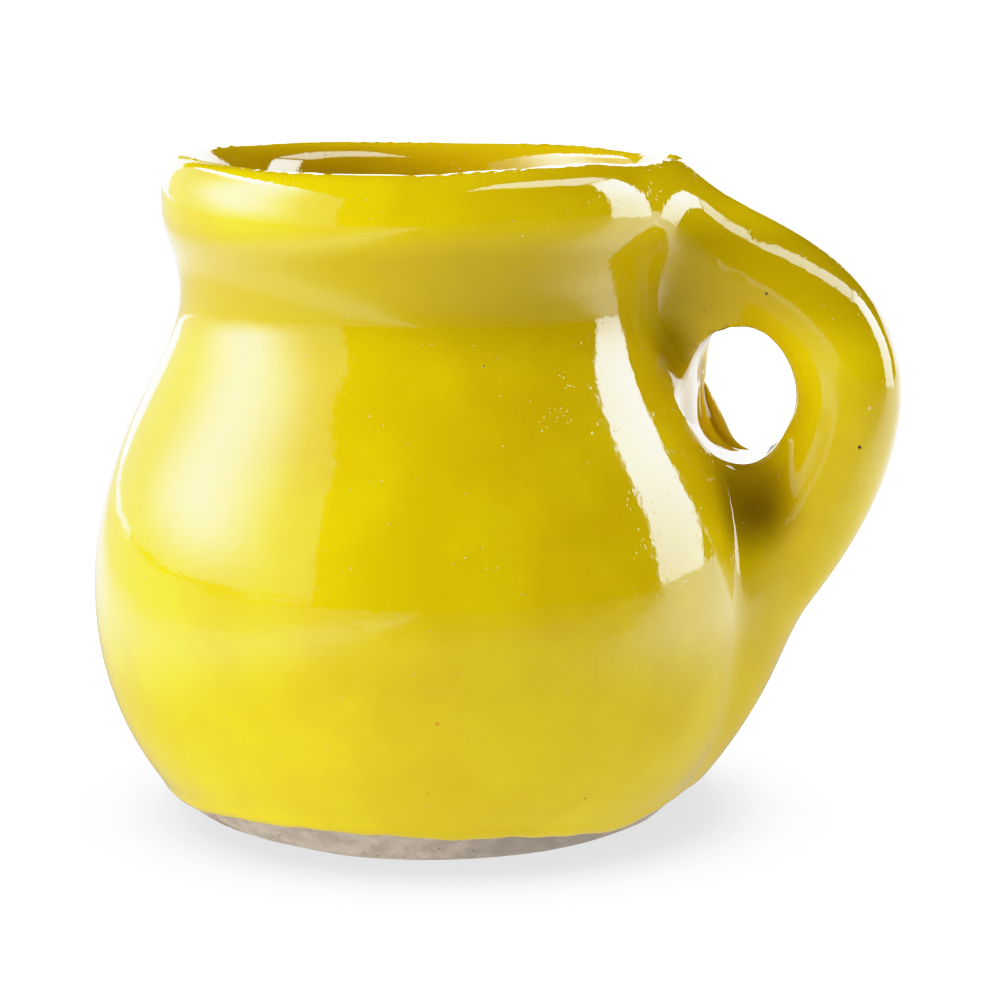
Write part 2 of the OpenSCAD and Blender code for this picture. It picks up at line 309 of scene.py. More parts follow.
OUTSIDE, INSIDE = pot_outline()
COIL, COIL_PLACES = coil_line()
SMEAR, SMEAR_PLACES = smear_line()


def both_sides(points):
    mirrored = points[::-1] * np.array([-1.0, 1.0])
    return np.concatenate([points, mirrored])


# The charts' corners and grid. The hollow's outline is closed at a height above
# the mouth, a little wider than the crest.
AXIS_CORNER, HANDLE_CORNER, FAR_CORNER = (-1.5, -4), (12, -4), (44, 60)
GRID = 0.25
SKY = 62.0
FLARE = 0.8

pot_chart = Chart(AXIS_CORNER, FAR_CORNER, GRID, lambda spots: [
    signed_distance(spots, both_sides(np.concatenate([OUTSIDE, [(0.0, CREST[1])]]))),
    signed_distance(spots, both_sides(np.concatenate([
        [(0.0, SKY), (CREST[0] + FLARE, SKY), CREST], INSIDE]))),
])
coil_chart = Chart(HANDLE_CORNER, FAR_CORNER, GRID, lambda spots: gap_to_line(spots, COIL, COIL_PLACES))
smear_chart = Chart(HANDLE_CORNER, FAR_CORNER, GRID, lambda spots: gap_to_line(spots, SMEAR, SMEAR_PLACES))


def union(a, b, blend):
    """The nearer of two surfaces, with the crease between them filled."""
    share = np.maximum(blend - np.abs(a - b), 0) / blend
    return np.minimum(a, b) - share**2 * blend / 4


def common(a, b, blend):
    return -union(-a, -b, blend)


def oval(across, up, half_across, half_up, power=2.0):
    """Rough distance from a rounded oval, negative inside it."""
    a, b = np.abs(across) / half_across, np.abs(up) / half_up
    size = np.maximum((a**power + b**power) ** (1 / power), 1e-6)
    slope = np.sqrt((a / half_across) ** 2 + (b / half_up) ** 2) / np.maximum(np.hypot(a, b), 1e-6)
    return (size - 1) / np.maximum(slope, 1e-6)


def ripples(seed, count, longest, shortest):
    """Waves in all directions, as the unevenness that hands and kiln leave."""
    dice = np.random.RandomState(seed)
    ways = dice.normal(size=(count, 3))
    ways /= np.linalg.norm(ways, axis=1)[:, None]
    lengths = np.geomspace(longest, shortest, count)
    phases = dice.uniform(0, 2 * math.pi, count)
    return ways * (2 * math.pi / lengths)[:, None], phases


def waves(p, pattern):
    """Sum of the waves at points p, from about -1 to 1."""
    ways, phases = pattern
    return np.sin(p @ ways.T + phases).sum(1) / math.sqrt(2 * len(phases))


LUMPS = ripples(7, 14, 14, 6)
RAGS = ripples(11, 24, 2.2, 0.7)

# Height at which the glaze ends above the foot, by the angle round the pot
GLAZE_LINE = ((-180, 2.2), (-160, 2.0), (-142, 1.9), (-130, 2.2), (-117, 2.75), (-107, 2.78), (-97, 2.95),
              (-83, 2.75), (-78, 2.58), (-69, 2.4), (-60, 2.33), (-50, 1.96), (-41, 1.5), (-33, 1.15),
              (-25, 1.5), (-10, 2.3), (15, 2.9), (40, 2.3), (70, 2.7), (95, 2.2), (125, 2.6), (150, 2.0))

# How much higher the thrown lip stands than its crest, by the angle round the pot
RIM_LIFT = ((-180, 0.6), (-160, 0.6), (-125, 0.35), (-95, 0.3), (-80, 0.38), (-62, 0.76), (-40, 0.8),
            (-22, 0.45), (-5, 0.0), (50, 0.12), (66, 0.16), (110, 0.08), (140, 0.45))

# Ripples round the glaze line and the lip: height, waves in a turn, and phase
LINE_RIPPLES = ((0.06, 17, 1), (0.04, 41, 0))
RIM_RIPPLES = ((0.05, 2, 0.6), (0.07, 3, 2.1), (0.05, 7, 0))

# The heights between which the lip's sway sets in, and the swelling of the lip
# on the side away from the handle
SWAY_RISE = (40, 50)
SWELL = 0.35
SWELL_HEIGHT = 47.5
SWELL_SIDE = (-0.985, -0.17)
SWELL_SPREAD = 3.5


def bump(value, middle, spread):
    """A soft hill of height 1 over its middle."""
    return np.exp(-(((value - middle) / spread) ** 2))


def turn_of(p):
    """Angle round the pot in degrees, from the handle's side."""
    return np.degrees(np.arctan2(p[:, 1], p[:, 0]))


def reach_of(p):
    """Distance from the pot's axis."""
    return np.hypot(p[:, 0], p[:, 1])


def ripple_round(turn, table):
    """Height of a table of ripples at an angle round the pot, in radians."""
    return sum(height * np.sin(count * turn + phase) for height, count, phase in table)


def glaze_line(p):
    """Height at which the glaze ends above the bare foot, all round the pot."""
    turn = turn_of(p)
    angles, heights = zip(*GLAZE_LINE)
    return np.interp(turn, angles, heights, period=360) + ripple_round(np.radians(turn), LINE_RIPPLES)


def level_round(p, table):
    """Value of a table of angles and values all round the pot, eased between them."""
    turn = turn_of(p)
    angles, values = (np.array(column, float) for column in zip(*table))
    angles, values = np.append(angles, angles[0] + 360), np.append(values, values[0])
    k = np.clip(np.searchsorted(angles, turn, side="right") - 1, 0, len(angles) - 2)
    return eased(values[k], values[k + 1], (turn - angles[k]) / (angles[k + 1] - angles[k]))


def rim_sway(p):
    """How far the lip wanders up and down round the mouth."""
    share = np.clip((p[:, 2] - SWAY_RISE[0]) / (SWAY_RISE[1] - SWAY_RISE[0]), 0, 1)
    waver = ripple_round(np.arctan2(p[:, 1], p[:, 0]), RIM_RIPPLES)
    return share**2 * (waver + level_round(p, RIM_LIFT))


def pot_fields(p, cover):
    """Distance from the pot without its hollow, and from the hollow itself."""
    reach = reach_of(p)
    away = p[:, :2] @ SWELL_SIDE / np.maximum(reach, 1)
    reach = reach + SWELL * np.exp(4 * (away - 1)) * bump(p[:, 2], SWELL_HEIGHT, SWELL_SPREAD)
    solid, hollow = pot_chart.read(reach, p[:, 2] - rim_sway(p))
    return solid - cover, -(hollow + cover)


def coil_field(p, cover):
    """Distance from the coil, which is thicker on the outside of its bend."""
    gap, place, beside = coil_chart.read(p[:, 0], p[:, 2])
    outer = BEND_SWELL * bump(place, BEND_SWELL_AT, BEND_SWELL_SPREAD) * eased(0, 1, beside / 2 + 0.5)
    return oval(gap, p[:, 1], coil_half(place) + cover + outer, COIL_SIDE + cover)


def smear_field(p, cover):
    gap, place, _ = smear_chart.read(p[:, 0], p[:, 2])
    half = smear_size(SMEAR_HALVES, place) + cover
    return oval(gap, p[:, 1], half, smear_size(SMEAR_SIDES, place) + cover)


def luting_sizes(reach):
    """Middle height of the slip at the lip and how far it goes up, down and sideways."""
    upper = COIL_PLACES <= LUTING_END
    line, places = COIL[upper], COIL_PLACES[upper]
    heading = np.gradient(line, axis=0)
    slant = np.hypot(heading[:, 0], heading[:, 1]) / heading[:, 0]
    middle = np.interp(reach, line[:, 0], line[:, 1])
    upright = np.interp(reach, line[:, 0], coil_half(places) * slant)
    left = eased(1, 0, (reach - LIP[0]) / LUTING_FADE)
    last = line[-1, 0]
    sunk = LUTING_SUNK[0] + eased(0, LUTING_SUNK[1], (reach - last + 4) / 4)
    return (middle, upright - sunk + LUTING_SPREAD * left, upright - sunk + LUTING_DROP * left,
            COIL_SIDE - sunk + LUTING_SPREAD * left, last)


def luting_field(p, cover):
    """Distance from the slip at the lip, from inside the wall to where the coil takes over."""
    middle, up, down, side, last = luting_sizes(p[:, 0])
    rise = p[:, 2] - middle
    field = oval(rise, p[:, 1], np.where(rise > 0, up, down) + cover, side + cover)
    field = common(field, p[:, 2] - (CREST[1] - LUTING_BELOW_CREST + cover), SLIP_TOP_BLEND)
    return np.maximum(np.maximum(field, p[:, 0] - last), LUTING_START - p[:, 0])


def torn_share(p):
    """1 where the clay tore at the upper left of the eye, and 0 elsewhere."""
    return share_between(p[:, 2], *TORN_RISE) * (1 - share_between(p[:, 0], *TORN_REACH))


def eye_field(p, cover):
    """Distance from the eye of the handle, as a bore from front to back."""
    return oval(p[:, 0] - EYE[0], p[:, 2] - EYE[1], EYE_HALVES[0] + COAT - cover,
                EYE_HALVES[1] + COAT - cover, EYE_POWER)


def handle_field(p):
    """Coil and slip together in their coat, with the eye opened through them."""
    field = union(coil_field(p, COAT), luting_field(p, COAT), SLIP_BLEND)
    field = np.maximum(union(field, smear_field(p, COAT), WEB_BLEND), HANDLE_START - p[:, 0])
    eye = eye_field(p, COAT)
    at_edge = np.exp(-np.abs(eye) / RAG_REACH - np.abs(field) / RAG_REACH)
    eye = eye + RAG * waves(p, RAGS) * at_edge * torn_share(p)
    start, end = EYE_BLEND_RISE
    return common(field, -eye, eased(*EYE_BLENDS, (p[:, 2] - start) / (end - start)))


def drip_field(p):
    """Lobe of glaze that hangs from the top of the eye on the pot's wall."""
    start, end = np.array(DRIP)
    way = end - start
    t = np.clip(((p - start) @ way) / (way @ way), 0, 1)
    off = p - start - t[:, None] * way
    return np.linalg.norm(off * (DRIP_FLATNESS, 1, 1), axis=1) - eased(*DRIP_HALVES, t)


def pressed_flat(p, cover):
    """Distance from the hollow that a fingertip pressed into the wall at the eye."""
    spread, rise = COAT - cover, p[:, 2] - PRESSED[1]
    pressed = np.maximum(
        oval(reach_of(p) - PRESSED[0], rise, PRESSED_HALVES[0] + spread, PRESSED_HALVES[1] + spread,
             PRESSED_POWER),
        oval(p[:, 1], rise, PRESSED_OVAL[0] + spread, PRESSED_OVAL[1] + spread))
    return common(pressed, eye_field(p, cover), FLAT_BLEND)


def joint_blend(p):
    """How widely the slip fills the corner between pot and coil, most beside the lip."""
    fill = eased(*JOINT_FILLS, (p[:, 2] - JOINT_RISE[0]) / (JOINT_RISE[1] - JOINT_RISE[0]))
    return fill + LIP_FILL * share_between(p[:, 2], *LIP_RISE) * share_between(np.abs(p[:, 1]), 1, 4.5)


def mug_field(p):
    """Distance from the mug's surface with its coat of glaze, in millimetres."""
    solid, hollow = pot_fields(p, COAT)
    lumps = waves(p, LUMPS)
    solid = solid - HEM * bump(p[:, 2] - glaze_line(p), HEM_RISE, HEM_SPREAD)
    solid = solid - RUN_HEIGHT * np.exp(-(((p - RUN) / RUN_SPREAD) ** 2).sum(1))
    field = union(solid - LUMP * lumps, handle_field(p), joint_blend(p))
    field = common(field, -(pressed_flat(p, COAT) + PRESSED_LUMP * lumps), FLAT_BLEND)
    field = union(field, drip_field(p), LOBE_BLEND)
    return common(field, hollow, CREST_BLEND)


def coat_field(p):
    """Distance from the coat of glaze, which ends at the wandering glaze line."""
    return common(mug_field(p), glaze_line(p) - p[:, 2], COAT_EDGE_BLEND)


def new_object(name, bm):
    mesh = bpy.data.meshes.new(name)
    bm.to_mesh(mesh)
    bm.free()
    obj = bpy.data.objects.new(name, mesh)
    bpy.context.scene.collection.objects.link(obj)
    return obj


def spun(outline, steps):
    """A closed body turned from an outline that starts and ends on the axis."""
    bm = bmesh.new()
    spots = [bm.verts.new((r, 0.0, z)) for r, z in outline]
    edges = [bm.edges.new(pair) for pair in zip(spots, spots[1:])]
    bmesh.ops.spin(bm, geom=spots + edges, cent=(0, 0, 0), axis=(0, 0, 1), dvec=(0, 0, 0),
                   angle=2 * math.pi, steps=steps, use_merge=True, use_duplicate=False)
    bmesh.ops.remove_doubles(bm, verts=bm.verts, dist=0.0005)
    bmesh.ops.recalc_face_normals(bm, faces=bm.faces)
    return bm


def ring_matrix(middle, along, half, side):
    """Where a round ring lies: across the coil by half, and along the mug's Y by side."""
    along = Vector((along[0], 0.0, along[1])).normalized()
    width = Vector((0.0, 1.0, 0.0))
    across = width.cross(along)
    turn = Matrix((across * half, width * side, along)).transposed().to_4x4()
    return Matrix.Translation(Vector((middle[0], 0.0, middle[1]))) @ turn


def rolled(rings, segments=24):
    """A closed coil of clay, drawn out ring by ring."""
    bm = bmesh.new()
    made = bmesh.ops.create_circle(bm, cap_ends=True, segments=segments, radius=1.0)
    bmesh.ops.transform(bm, matrix=rings[0], verts=made["verts"])
    face = bm.faces[:][0]
    for before, after in zip(rings, rings[1:]):
        out = bmesh.ops.extrude_face_region(bm, geom=[face])["geom"]
        verts = [g for g in out if isinstance(g, bmesh.types.BMVert)]
        face = next(g for g in out if isinstance(g, bmesh.types.BMFace))
        bmesh.ops.transform(bm, matrix=after @ before.inverted(), verts=verts)
    bmesh.ops.recalc_face_normals(bm, faces=bm.faces)
    return bm


def joined(name, parts):
    bm = bmesh.new()
    for part in parts:
        mesh = bpy.data.meshes.new("part")
        part.to_mesh(mesh)
        part.free()
        bm.from_mesh(mesh)
        bpy.data.meshes.remove(mesh)
    return new_object(name, bm)


def bake_modifiers(obj):
    """The object's mesh as its modifiers leave it, with none of them left."""
    bpy.context.view_layer.update()
    shaped = bpy.data.meshes.new_from_object(obj.evaluated_get(bpy.context.evaluated_depsgraph_get()))
    obj.modifiers.clear()
    old, obj.data = obj.data, shaped
    bpy.data.meshes.remove(old)


def remeshed(obj, size):
    modifier = obj.modifiers.new("knead", "REMESH")
    modifier.mode = "VOXEL"
    modifier.voxel_size = size
    bake_modifiers(obj)


def spots_of(verts):
    return np.array([v.co for v in verts], float)


def mesh_spots(mesh):
    spots = np.empty(len(mesh.vertices) * 3)
    mesh.vertices.foreach_get("co", spots)
    return spots.reshape(-1, 3)


def steepness(field, p, value, step=0.02):
    """Which way a field grows at points p, where its value is known, and how fast."""
    out = np.empty_like(p)
    for axis in range(3):
        shift = np.zeros(3)
        shift[axis] = step
        out[:, axis] = (field(p + shift) - value) / step
    return out


def pressed_onto(field, p, rounds=6, most=0.5):
    """Points moved onto the surface where the field is zero."""
    p = p.copy()
    away = np.arange(len(p))
    for _ in range(rounds):
        value = field(p[away])
        off = np.abs(value) > 0.002
        away, value = away[off], value[off]
        slope = steepness(field, p[away], value)
        move = -value[:, None] * slope / np.maximum((slope**2).sum(1), 0.05)[:, None]
        length = np.linalg.norm(move, axis=1)
        p[away] += move * np.minimum(1, most / np.maximum(length, 1e-9))[:, None]
    return p


def lay_onto(field, verts, rounds):
    for v, spot in zip(verts, pressed_onto(field, spots_of(verts), rounds)):
        v.co = spot


def settle(bm, field, verts, rounds, factor=0.5):
    """Evens out the mesh and lays it back onto the surface, again and again."""
    for _ in range(rounds):
        bmesh.ops.smooth_vert(bm, verts=verts, factor=factor,
                              use_axis_x=True, use_axis_y=True, use_axis_z=True)
        lay_onto(field, verts, 2)


def finer(bm, near, field, rounds):
    """Splits the edges in a region and lays the new points onto the surface."""
    chosen = near(spots_of(bm.verts))
    bm.verts.ensure_lookup_table()
    bm.verts.index_update()
    edges = [e for e in bm.edges if chosen[e.verts[0].index] and chosen[e.verts[1].index]]
    bmesh.ops.subdivide_edges(bm, edges=edges, cuts=1, use_grid_fill=True, smooth=0)
    bmesh.ops.triangulate(bm, faces=[f for f in bm.faces if len(f.verts) > 4])
    bm.verts.ensure_lookup_table()
    verts = [v for v, is_near in zip(bm.verts[:], near(spots_of(bm.verts))) if is_near]
    settle(bm, field, verts, rounds, 0.4)


# Where the coat's mesh is made finer, round the edge of the eye and along the glaze line
EYE_REGION = 1.6
EYE_REGION_POWER = 2.3
EYE_REGION_SIDE = 8.2
EYE_REGION_REACH = (19.3, 28.2)
LINE_REGION = 1.0
LINE_REGION_RISE = 0.3
LINE_REGION_REACH = 18.2


def near_eye(p):
    """Where the slip's torn edges run round the eye."""
    edge = oval(p[:, 0] - EYE[0], p[:, 2] - EYE[1], EYE_HALVES[0] + COAT, EYE_HALVES[1] + COAT,
                EYE_REGION_POWER)
    start, end = EYE_REGION_REACH
    across = (np.abs(p[:, 1]) < EYE_REGION_SIDE) & (p[:, 0] > start) & (p[:, 0] < end)
    return (np.abs(edge) < EYE_REGION) & across


def near_glaze_line(p):
    rise = p[:, 2] - glaze_line(p) - LINE_REGION_RISE
    return (np.abs(rise) < LINE_REGION) & (reach_of(p) > LINE_REGION_REACH)


def hollow_share(p, band=1.2):
    """1 on the lining, 0 on the outside, and between them in a band on the crest."""
    solid, hollow = pot_fields(p, COAT)
    return np.clip((hollow - solid) / band + 0.5, 0, 1)


def curl(mesh, normals):
    """How sharply the surface bends outwards at each point, per millimetre."""
    spots = mesh_spots(mesh)
    pairs = np.empty(len(mesh.edges) * 2, int)
    mesh.edges.foreach_get("vertices", pairs)
    a, b = pairs.reshape(-1, 2).T
    way = spots[b] - spots[a]
    length = np.maximum((way**2).sum(1), 1e-9)
    total, count = np.zeros(len(spots)), np.zeros(len(spots))
    for here, sign in ((a, -1), (b, 1)):
        np.add.at(total, here, sign * (way * normals[here]).sum(1) / length * 2)
        np.add.at(count, here, 1)
    value = total / np.maximum(count, 1)
    for _ in range(3):
        even = np.zeros(len(spots))
        np.add.at(even, a, value[b])
        np.add.at(even, b, value[a])
        value = (value + even / np.maximum(count, 1)) / 2
    return value


def finish_mesh(obj, field, values):
    """Smooth shading from the surface itself, point values for the finish, and metres."""
    mesh = obj.data
    spots = mesh_spots(mesh)
    normals = steepness(field, spots, field(spots), 0.03)
    normals /= np.maximum(np.linalg.norm(normals, axis=1), 1e-9)[:, None]
    for name, found in values(mesh, spots, normals).items():
        layer = mesh.attributes.new(name, "FLOAT", "POINT")
        layer.data.foreach_set("value", found.astype(np.float32))
    mesh.transform(Matrix.Scale(MM, 4))
    mesh.polygons.foreach_set("use_smooth", [True] * len(mesh.polygons))
    mesh.normals_split_custom_set_from_vertices(normals.tolist())


def rings_along(line, halves, sides):
    heading = np.gradient(line, axis=0)
    return [ring_matrix(p, d, a, b) for p, d, a, b in zip(line, heading, halves, sides)]


def coil_rings(keep):
    line, places = COIL[keep], COIL_PLACES[keep]
    return rings_along(line, coil_half(places), np.full(len(line), COIL_SIDE))


def smear_rings(keep):
    line, places = SMEAR[keep], SMEAR_PLACES[keep]
    return rings_along(line, smear_size(SMEAR_HALVES, places), smear_size(SMEAR_SIDES, places))


def luting_rings(start, count=10):
    reach = np.linspace(start, luting_sizes(np.array([start]))[4], count)
    middle, up, down, side, _ = luting_sizes(reach)
    return [ring_matrix((x, m + (u - d) / 2), (1, 0), (u + d) / 2, s)
            for x, m, u, d, s in zip(reach, middle, up, down, side)]


# The coat of glass over the whole mug, laid over a body that is kneaded
# together from the turned pot, the coil and the slip.
COAT_FOOT = 2.0
KNEADED_GRAIN = 0.5
FINGER_LENGTH = 28


def glazed_outline():
    outer = OUTSIDE[OUTSIDE[:, 1] > COAT_FOOT]
    return np.concatenate([[(0.0, COAT_FOOT)], [(outer[0][0], COAT_FOOT)],
                           outer[::3], INSIDE[::3], INSIDE[-1:]])


def finger_through_eye():
    """A rod as wide as the eye, which opens it through the kneaded body."""
    bm = bmesh.new()
    made = bmesh.ops.create_circle(bm, cap_ends=True, segments=40, radius=1.0)
    place = Matrix.Translation((EYE[0], -FINGER_LENGTH / 2, EYE[1]))
    turn = Matrix.Rotation(math.pi / 2, 4, "X")
    bmesh.ops.transform(bm, verts=made["verts"], matrix=place @ turn @ Matrix.Diagonal((*EYE_HALVES, 1, 1)))
    lid = bmesh.ops.extrude_face_region(bm, geom=bm.faces[:])["geom"]
    bmesh.ops.translate(bm, vec=(0, FINGER_LENGTH, 0),
                        verts=[g for g in lid if isinstance(g, bmesh.types.BMVert)])
    bmesh.ops.recalc_face_normals(bm, faces=bm.faces)
    return new_object("finger", bm)


def kneaded_body():
    body = joined("glaze_coat", [
        spun(glazed_outline(), 96),
        rolled(coil_rings(slice(None, None, 4))[2:]),
        rolled(smear_rings(slice(None, None, 4))),
        rolled(luting_rings(18.0)),
    ])
    remeshed(body, KNEADED_GRAIN)
    finger = finger_through_eye()
    cut = body.modifiers.new("eye", "BOOLEAN")
    cut.operation = "DIFFERENCE"
    cut.solver = "FAST"
    cut.object = finger
    bake_modifiers(body)
    bpy.data.objects.remove(finger)
    remeshed(body, KNEADED_GRAIN)
    return body


# The curl from which the coat runs thin or pools and the curl over which that
# grows to full, the reach and share of the pool in the handle's crease, the
# width of the torn edge and where on the handle it shows, and the hem's width
THIN_CURL = (0.75, 1.6)
POOLED_CURL = (0.12, 0.9)
CREASE_REACH, CREASE_POOL = 1.6, 0.35
TORN_WIDTH, TORN_SIDE, TORN_START = 0.2, 8, 20
HEM_WIDTH = 0.5


def coat_values(mesh, spots, normals):
    """Where the glaze lines the hollow, runs thin, pools, is torn and ends."""
    bend = curl(mesh, normals)
    solid, _ = pot_fields(spots, COAT)
    inside = hollow_share(spots)
    off_crease = np.clip(handle_field(spots), 0, None) + np.clip(solid, 0, None)
    crease = np.exp(-off_crease / CREASE_REACH) * (1 - inside)
    torn = np.exp(-np.abs(eye_field(spots, COAT)) / TORN_WIDTH) * torn_share(spots)
    torn = torn * (np.abs(spots[:, 1]) < TORN_SIDE) * (spots[:, 0] > TORN_START)
    pooled = np.clip((-bend - POOLED_CURL[0]) / POOLED_CURL[1], 0, 1)
    return {
        "inside": inside,
        "thin": np.clip((bend - THIN_CURL[0]) / THIN_CURL[1], 0, 1),
        "pooled": np.clip(pooled + CREASE_POOL * crease, 0, 1),
        "torn": np.clip(torn * (1.6 * waves(spots, RAGS) - 0.1), 0, 1),
        "hem": bump(spots[:, 2], glaze_line(spots), HEM_WIDTH),
    }


def laid_mesh(obj, field, rounds):
    """The object's mesh, laid onto a field's surface and evened out."""
    bm = bmesh.new()
    bm.from_mesh(obj.data)
    lay_onto(field, bm.verts, rounds)
    settle(bm, field, bm.verts[:], 3)
    return bm


def glaze_coat():
    body = kneaded_body()
    bm = laid_mesh(body, coat_field, 6)
    for region in (near_eye, near_eye, near_glaze_line):
        finer(bm, region, coat_field, 2)
    bmesh.ops.recalc_face_normals(bm, faces=bm.faces)
    bm.to_mesh(body.data)
    bm.free()
    finish_mesh(body, coat_field, coat_values)
    return body


body = glaze_coat()


# The fired clay of the pot, which is left bare on the foot
GRIT = ripples(23, 60, 3.0, 0.5)
GRIT_HEIGHT = 0.05
WALL_UNDER_COAT = 0.05
COIL_UNDER_COAT = 0.3
FLAT_UNDER_COAT = 0.7
CLAY_GRAIN = 0.6

# The bare foot up to where the clay goes under the coat, with the pulls of its
# curve, and how much of its lower edge is worn off and lifted, most at the left front
FOOT_FLAT = 17.2
FOOT_CURVE = ((20.3, 1.9), (21.6, 3.0), (22.3, 4.3))
BARE_TOP = 5
WORN_TURN = -128
WORN_SPREAD = 22
WORN_DEPTH = 0.9
WORN_LIFT = 0.35
WORN_ALL_ROUND = 0.15


def foot_wear(p):
    """How much of the foot's lower edge is rounded away, most at the left front."""
    around = bump(turn_of(p), WORN_TURN, WORN_SPREAD)
    edge = np.clip(1 - p[:, 2] / 1.6, 0, 1) * np.clip((reach_of(p) - 15.5) / 3, 0, 1)
    return edge * (WORN_ALL_ROUND + (1 - WORN_ALL_ROUND) * around)


def clay_field(p):
    """Distance from the pot's clay, which lies a little deeper than its coat."""
    solid, hollow = pot_fields(p, -WALL_UNDER_COAT)
    wall = common(solid, -pressed_flat(p, -FLAT_UNDER_COAT), FLAT_BLEND)
    return common(wall, hollow, CREST_BLEND)


def finish_clay(bm):
    """Outward faces, smooth shading and metres."""
    bmesh.ops.recalc_face_normals(bm, faces=bm.faces)
    for f in bm.faces:
        f.smooth = True
    bmesh.ops.scale(bm, vec=(MM, MM, MM), verts=bm.verts)


def clay_part(name, rings, field):
    """A piece of clay outside the wall and clear of the eye, under the coat of glaze."""
    def trimmed(p):
        piece = common(field(p, -COIL_UNDER_COAT), -eye_field(p, -COIL_UNDER_COAT), 0.5)
        return common(piece, 0.3 - pot_fields(p, 0)[0], 0.3)

    part = joined(name, [rolled(rings)])
    remeshed(part, CLAY_GRAIN)
    bm = laid_mesh(part, trimmed, 8)
    finish_clay(bm)
    bm.to_mesh(part.data)
    bm.free()
    return part


def clay_outline():
    return np.concatenate([
        [(r, 0.0) for r in np.linspace(0, FOOT_FLAT, 12)], [FOOT],
        along_curve(BEVEL, *FOOT_CURVE, shares(14)),
        OUTSIDE[OUTSIDE[:, 1] > BARE_TOP - 0.1][::3], INSIDE[::3], INSIDE[-1:]])


def bare_pot():
    """The turned pot of clay, with a sandy and worn foot."""
    bm = spun(clay_outline(), 240)
    high = [v for v in bm.verts if v.co.z > BARE_TOP]
    lay_onto(clay_field, high, 4)
    low = [v for v in bm.verts if v.co.z <= BARE_TOP]
    spots = spots_of(low)
    reach = reach_of(spots)
    wobble = GRIT_HEIGHT * waves(spots, GRIT) * np.clip((reach - 17) / 1.5, 0, 1)
    for v, r, worn, out in zip(low, reach, foot_wear(spots), wobble):
        if r > 0.1:
            v.co.xy *= 1 + (out - WORN_DEPTH * worn) / r
        if v.co.z < 0.3 and r > 16.5:
            v.co.z += WORN_LIFT * worn
    finish_clay(bm)
    return new_object("bare_clay_pot", bm)


coil = clay_part("clay_coil", coil_rings(slice(8, None, 5)), coil_field)
upper_slip = clay_part("slip_at_lip", luting_rings(21.0), luting_field)
lower_slip = clay_part("slip_at_belly", smear_rings(slice(2, None, 5)), smear_field)
pot = bare_pot()


# Finishes
class Bench:
    """Short ways of putting nodes down in one material, with places in millimetres."""

    def __init__(self, name):
        self.material = bpy.data.materials.new(name)
        self.material.use_nodes = True
        self.tree = self.material.node_tree
        self.shader = self.tree.nodes["Principled BSDF"]
        place = self.tree.nodes.new("ShaderNodeTexCoord")
        scale = self.tree.nodes.new("ShaderNodeMapping")
        scale.inputs["Scale"].default_value = (1 / MM, 1 / MM, 1 / MM)
        self.link(place.outputs["Object"], scale.inputs["Vector"])
        self.place = scale.outputs["Vector"]

    def link(self, out, into):
        self.tree.links.new(out, into)

    def feed(self, socket, value):
        if isinstance(value, bpy.types.NodeSocket):
            self.link(value, socket)
        else:
            socket.default_value = value

    def put(self, kind, **inputs):
        node = self.tree.nodes.new(kind)
        for name, value in inputs.items():
            self.feed(node.inputs[name], value)
        return node

    def noise(self, scale, detail=2.0, roughness=0.5):
        node = self.put("ShaderNodeTexNoise", Vector=self.place, Scale=scale, Detail=detail,
                        Roughness=roughness, Distortion=0.0)
        return node.outputs["Fac"]

    def grains(self, scale, radius, edge):
        """1 inside small scattered spots and 0 past their edge, as shares of their spacing."""
        node = self.put("ShaderNodeTexVoronoi", Vector=self.place, Scale=scale, Randomness=1.0)
        return self.reshape(node.outputs["Distance"], radius, edge, 1.0, 0.0)

    def point(self, name):
        node = self.tree.nodes.new("ShaderNodeAttribute")
        node.attribute_name = name
        return node.outputs["Fac"]

    def reshape(self, value, low, high, to_low=0.0, to_high=1.0):
        node = self.tree.nodes.new("ShaderNodeMapRange")
        node.interpolation_type = "SMOOTHSTEP"
        self.link(value, node.inputs["Value"])
        for name, number in (("From Min", low), ("From Max", high), ("To Min", to_low), ("To Max", to_high)):
            node.inputs[name].default_value = number
        return node.outputs["Result"]

    def maths(self, how, a, b=0.0):
        node = self.tree.nodes.new("ShaderNodeMath")
        node.operation = how
        for socket, value in zip(node.inputs, (a, b)):
            self.feed(socket, value)
        return node.outputs[0]

    def times(self, a, b):
        return self.maths("MULTIPLY", a, b)

    def plus(self, a, b):
        return self.maths("ADD", a, b)

    def blend(self, share, a, b):
        node = self.tree.nodes.new("ShaderNodeMix")
        node.data_type = "RGBA"
        for index, value in ((0, share), (6, a), (7, b)):
            self.feed(node.inputs[index], (*value, 1.0) if isinstance(value, tuple) else value)
        return node.outputs[2]

    def tinted(self, colour, share, most, tint):
        """The colour, tinted by up to most where the share is 1."""
        return self.blend(self.times(share, most), colour, tint)

    def near(self, spot, radius, soft):
        """1 within radius of a spot on the mug, in millimetres, and 0 past its soft edge."""
        gap = self.tree.nodes.new("ShaderNodeVectorMath")
        gap.operation = "DISTANCE"
        self.link(self.place, gap.inputs[0])
        gap.inputs[1].default_value = spot
        return self.reshape(gap.outputs["Value"], radius, radius + soft, 1.0, 0.0)

    def relief(self, height, depth, under=None):
        node = self.put("ShaderNodeBump", Height=height, Strength=1.0, Distance=depth * MM)
        if under is not None:
            self.link(under, node.inputs["Normal"])
        return node.outputs["Normal"]

    def gloss(self, roughness, ior):
        self.shader.inputs["Roughness"].default_value = roughness
        self.shader.inputs["IOR"].default_value = ior


